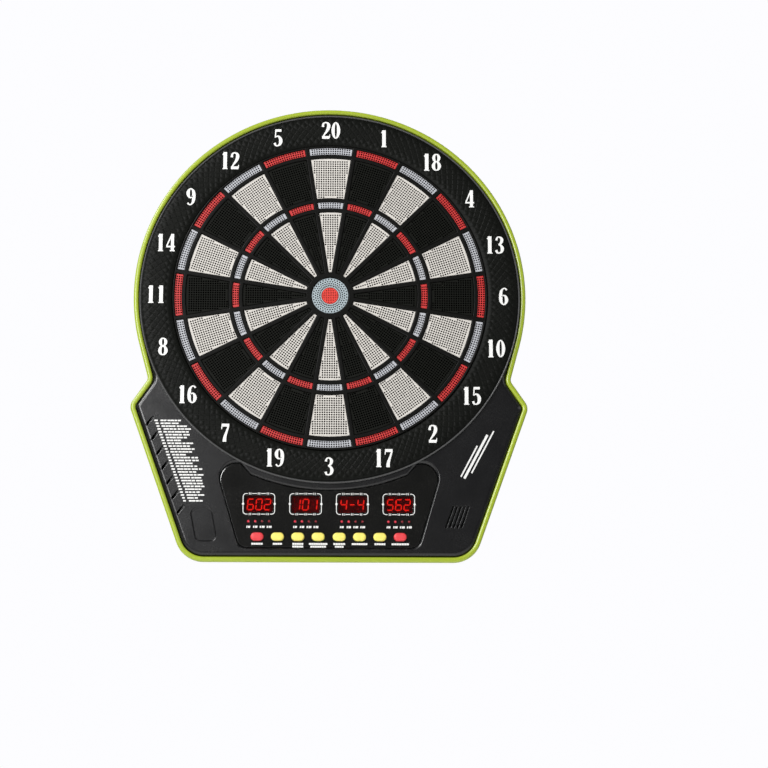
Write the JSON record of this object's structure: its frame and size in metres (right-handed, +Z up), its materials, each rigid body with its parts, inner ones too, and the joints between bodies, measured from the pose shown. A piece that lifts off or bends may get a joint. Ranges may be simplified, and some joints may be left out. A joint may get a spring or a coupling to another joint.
{
  "type": "electronic dartboard cabinet",
  "caption": "Wall-hung electronic dartboard: perforated scoring segments in a spider, numbered catch ring, sunk control panel with digit displays and push buttons.",
  "frame": {"origin": "on the wall plane, straight behind the middle of the bullseye", "axes": "+Z up, +X to the right as the player sees it, the face looks along -Y and the wall is the plane y = 0"},
  "size_m": [0.4352, 0.0348, 0.5154],
  "materials": {
    "cabinet_plastic": "satin moulded black",
    "cover_plastic": "matt moulded black",
    "trim_plastic": "semi-gloss lime",
    "ring_plastic": "matt moulded black",
    "fascia_plastic": "gloss black with printed marks",
    "lens_plastic": "dark red transparent",
    "circuit_board": "green solder mask",
    "keypad_rubber": "matt moulded rubber",
    "fibreboard": "raw hardboard",
    "film": "printed polyester film",
    "foam_rubber": "closed-cell foam",
    "cable_grey": "flat cable insulation",
    "speaker_frame": "black paint",
    "jack_plastic": "moulded",
    "segment_white": "moulded, perforated",
    "segment_black": "moulded, perforated",
    "bull_grey": "moulded, perforated",
    "segment_red": "moulded, perforated",
    "display_case": "moulded with red light bars",
    "button_red": "satin",
    "button_yellow": "satin",
    "screw_steel": "zinc plated"
  },
  "bodies": {
    "cabinet": {"front_housing": "cabinet_plastic", "rear_cover": "cover_plastic", "edge_trim": "trim_plastic", "catch_ring": "ring_plastic", "segment_spider": "ring_plastic", "control_panel": "fascia_plastic", "display_lens": "lens_plastic", "display_board": "circuit_board", "button_mat": "keypad_rubber", "main_board": "circuit_board", "backing_board": "fibreboard", "sensor_membrane": "film", "return_pad": "foam_rubber", "membrane_cable": "cable_grey", "display_cable": "cable_grey", "speaker_cable": "cable_grey", "speaker": "speaker_frame", "power_jack": "jack_plastic", "score_display_1": "display_case", "score_display_2": "display_case", "score_display_3": "display_case", "score_display_4": "display_case", "case_screw_1": "screw_steel", "case_screw_2": "screw_steel", "case_screw_3": "screw_steel", "case_screw_4": "screw_steel", "case_screw_5": "screw_steel", "case_screw_6": "screw_steel", "case_screw_7": "screw_steel", "case_screw_8": "screw_steel"},
    "number_20": {"segment_bed_20": "segment_white"},
    "number_1": {"segment_bed_1": "segment_black"},
    "number_18": {"segment_bed_18": "segment_white"},
    "number_4": {"segment_bed_4": "segment_black"},
    "number_13": {"segment_bed_13": "segment_white"},
    "number_6": {"segment_bed_6": "segment_black"},
    "number_10": {"segment_bed_10": "segment_white"},
    "number_15": {"segment_bed_15": "segment_black"},
    "number_2": {"segment_bed_2": "segment_white"},
    "number_17": {"segment_bed_17": "segment_black"},
    "number_3": {"segment_bed_3": "segment_white"},
    "number_19": {"segment_bed_19": "segment_black"},
    "number_7": {"segment_bed_7": "segment_white"},
    "number_16": {"segment_bed_16": "segment_black"},
    "number_8": {"segment_bed_8": "segment_white"},
    "number_11": {"segment_bed_11": "segment_black"},
    "number_14": {"segment_bed_14": "segment_white"},
    "number_9": {"segment_bed_9": "segment_black"},
    "number_12": {"segment_bed_12": "segment_white"},
    "number_5": {"segment_bed_5": "segment_black"},
    "outer_bull": {"bull_ring": "bull_grey"},
    "inner_bull": {"bullseye": "segment_red"},
    "key_power": {"button_power": "button_red"},
    "key_game": {"button_game": "button_yellow"},
    "key_option": {"button_option": "button_yellow"},
    "key_player": {"button_player": "button_yellow"},
    "key_double": {"button_double": "button_yellow"},
    "key_handicap": {"button_handicap": "button_yellow"},
    "key_sound": {"button_sound": "button_yellow"},
    "key_start": {"button_start": "button_red"}
  },
  "joints": [
    {"name": "number_20_travel", "type": "slide", "parent": "cabinet", "child": "number_20", "axis": [0, 1, 0], "range_m": [0, 0.001], "stiffness_N_per_m": 1500},
    {"name": "number_1_travel", "type": "slide", "parent": "cabinet", "child": "number_1", "axis": [0, 1, 0], "range_m": [0, 0.001], "stiffness_N_per_m": 1500},
    {"name": "number_18_travel", "type": "slide", "parent": "cabinet", "child": "number_18", "axis": [0, 1, 0], "range_m": [0, 0.001], "stiffness_N_per_m": 1500},
    {"name": "number_4_travel", "type": "slide", "parent": "cabinet", "child": "number_4", "axis": [0, 1, 0], "range_m": [0, 0.001], "stiffness_N_per_m": 1500},
    {"name": "number_13_travel", "type": "slide", "parent": "cabinet", "child": "number_13", "axis": [0, 1, 0], "range_m": [0, 0.001], "stiffness_N_per_m": 1500},
    {"name": "number_6_travel", "type": "slide", "parent": "cabinet", "child": "number_6", "axis": [0, 1, 0], "range_m": [0, 0.001], "stiffness_N_per_m": 1500},
    {"name": "number_10_travel", "type": "slide", "parent": "cabinet", "child": "number_10", "axis": [0, 1, 0], "range_m": [0, 0.001], "stiffness_N_per_m": 1500},
    {"name": "number_15_travel", "type": "slide", "parent": "cabinet", "child": "number_15", "axis": [0, 1, 0], "range_m": [0, 0.001], "stiffness_N_per_m": 1500},
    {"name": "number_2_travel", "type": "slide", "parent": "cabinet", "child": "number_2", "axis": [0, 1, 0], "range_m": [0, 0.001], "stiffness_N_per_m": 1500},
    {"name": "number_17_travel", "type": "slide", "parent": "cabinet", "child": "number_17", "axis": [0, 1, 0], "range_m": [0, 0.001], "stiffness_N_per_m": 1500},
    {"name": "number_3_travel", "type": "slide", "parent": "cabinet", "child": "number_3", "axis": [0, 1, 0], "range_m": [0, 0.001], "stiffness_N_per_m": 1500},
    {"name": "number_19_travel", "type": "slide", "parent": "cabinet", "child": "number_19", "axis": [0, 1, 0], "range_m": [0, 0.001], "stiffness_N_per_m": 1500},
    {"name": "number_7_travel", "type": "slide", "parent": "cabinet", "child": "number_7", "axis": [0, 1, 0], "range_m": [0, 0.001], "stiffness_N_per_m": 1500},
    {"name": "number_16_travel", "type": "slide", "parent": "cabinet", "child": "number_16", "axis": [0, 1, 0], "range_m": [0, 0.001], "stiffness_N_per_m": 1500},
    {"name": "number_8_travel", "type": "slide", "parent": "cabinet", "child": "number_8", "axis": [0, 1, 0], "range_m": [0, 0.001], "stiffness_N_per_m": 1500},
    {"name": "number_11_travel", "type": "slide", "parent": "cabinet", "child": "number_11", "axis": [0, 1, 0], "range_m": [0, 0.001], "stiffness_N_per_m": 1500},
    {"name": "number_14_travel", "type": "slide", "parent": "cabinet", "child": "number_14", "axis": [0, 1, 0], "range_m": [0, 0.001], "stiffness_N_per_m": 1500},
    {"name": "number_9_travel", "type": "slide", "parent": "cabinet", "child": "number_9", "axis": [0, 1, 0], "range_m": [0, 0.001], "stiffness_N_per_m": 1500},
    {"name": "number_12_travel", "type": "slide", "parent": "cabinet", "child": "number_12", "axis": [0, 1, 0], "range_m": [0, 0.001], "stiffness_N_per_m": 1500},
    {"name": "number_5_travel", "type": "slide", "parent": "cabinet", "child": "number_5", "axis": [0, 1, 0], "range_m": [0, 0.001], "stiffness_N_per_m": 1500},
    {"name": "outer_bull_travel", "type": "slide", "parent": "cabinet", "child": "outer_bull", "axis": [0, 1, 0], "range_m": [0, 0.001], "stiffness_N_per_m": 1000},
    {"name": "inner_bull_travel", "type": "slide", "parent": "cabinet", "child": "inner_bull", "axis": [0, 1, 0], "range_m": [0, 0.001], "stiffness_N_per_m": 800},
    {"name": "key_power_travel", "type": "slide", "parent": "cabinet", "child": "key_power", "axis": [0, 1, 0], "range_m": [0, 0.0012], "stiffness_N_per_m": 300},
    {"name": "key_game_travel", "type": "slide", "parent": "cabinet", "child": "key_game", "axis": [0, 1, 0], "range_m": [0, 0.0012], "stiffness_N_per_m": 300},
    {"name": "key_option_travel", "type": "slide", "parent": "cabinet", "child": "key_option", "axis": [0, 1, 0], "range_m": [0, 0.0012], "stiffness_N_per_m": 300},
    {"name": "key_player_travel", "type": "slide", "parent": "cabinet", "child": "key_player", "axis": [0, 1, 0], "range_m": [0, 0.0012], "stiffness_N_per_m": 300},
    {"name": "key_double_travel", "type": "slide", "parent": "cabinet", "child": "key_double", "axis": [0, 1, 0], "range_m": [0, 0.0012], "stiffness_N_per_m": 300},
    {"name": "key_handicap_travel", "type": "slide", "parent": "cabinet", "child": "key_handicap", "axis": [0, 1, 0], "range_m": [0, 0.0012], "stiffness_N_per_m": 300},
    {"name": "key_sound_travel", "type": "slide", "parent": "cabinet", "child": "key_sound", "axis": [0, 1, 0], "range_m": [0, 0.0012], "stiffness_N_per_m": 300},
    {"name": "key_start_travel", "type": "slide", "parent": "cabinet", "child": "key_start", "axis": [0, 1, 0], "range_m": [0, 0.0012], "stiffness_N_per_m": 300}
  ]
}
